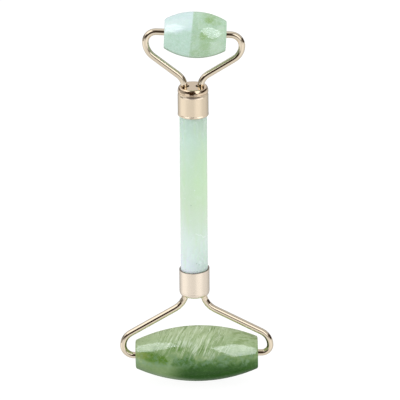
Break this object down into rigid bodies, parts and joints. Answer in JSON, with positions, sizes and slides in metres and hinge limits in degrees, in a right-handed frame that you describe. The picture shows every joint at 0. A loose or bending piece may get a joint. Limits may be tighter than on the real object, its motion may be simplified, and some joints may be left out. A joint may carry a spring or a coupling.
{
  "type": "jade face roller",
  "caption": "Hand-held stone face roller: a round stone handle with metal ferrules and, at each end, a wire fork that carries a free-turning barrel-shaped stone.",
  "frame": {"origin": "on the handle's axis, near its middle, at the centre of the whole object's box to within about half a millimetre", "axes": "+Z along the handle from the large roller to the small roller, +X along the rollers, -Y the front"},
  "size_m": [0.057, 0.0208, 0.1441],
  "materials": {
    "pale_jade": "polished pale green jade, cloudy, bluish white at one end",
    "mint_jade": "polished mint jade with an icy white half",
    "sage_jade": "polished sage green jade with pale fibrous streaks",
    "champagne_gold": "polished champagne gold plating on metal",
    "dark_nylon": "moulded dark nylon",
    "cured_adhesive": "cured two-part adhesive"
  },
  "bodies": {
    "frame": {"handle": "pale_jade", "upper_ferrule_sleeve": "champagne_gold", "upper_ferrule_cap": "champagne_gold", "upper_adhesive_plug": "cured_adhesive", "lower_ferrule_sleeve": "champagne_gold", "lower_ferrule_cap": "champagne_gold", "lower_adhesive_plug": "cured_adhesive", "small_fork_left_arm": "champagne_gold", "small_fork_right_arm": "champagne_gold", "large_fork_left_arm": "champagne_gold", "large_fork_right_arm": "champagne_gold"},
    "small_roller": {"small_roller_stone": "mint_jade", "small_roller_left_bush": "dark_nylon", "small_roller_right_bush": "dark_nylon"},
    "large_roller": {"large_roller_stone": "sage_jade", "large_roller_left_bush": "dark_nylon", "large_roller_right_bush": "dark_nylon"}
  },
  "joints": [
    {"name": "small_roller_spin", "type": "hinge", "parent": "frame", "child": "small_roller", "pos_m": [0.0009, 0, 0.06385], "axis": [0.9987, 0, -0.0506], "continuous": true},
    {"name": "large_roller_spin", "type": "hinge", "parent": "frame", "child": "large_roller", "pos_m": [0.00066, 0, -0.06151], "axis": [0.9999, 0, 0.0113], "continuous": true}
  ]
}
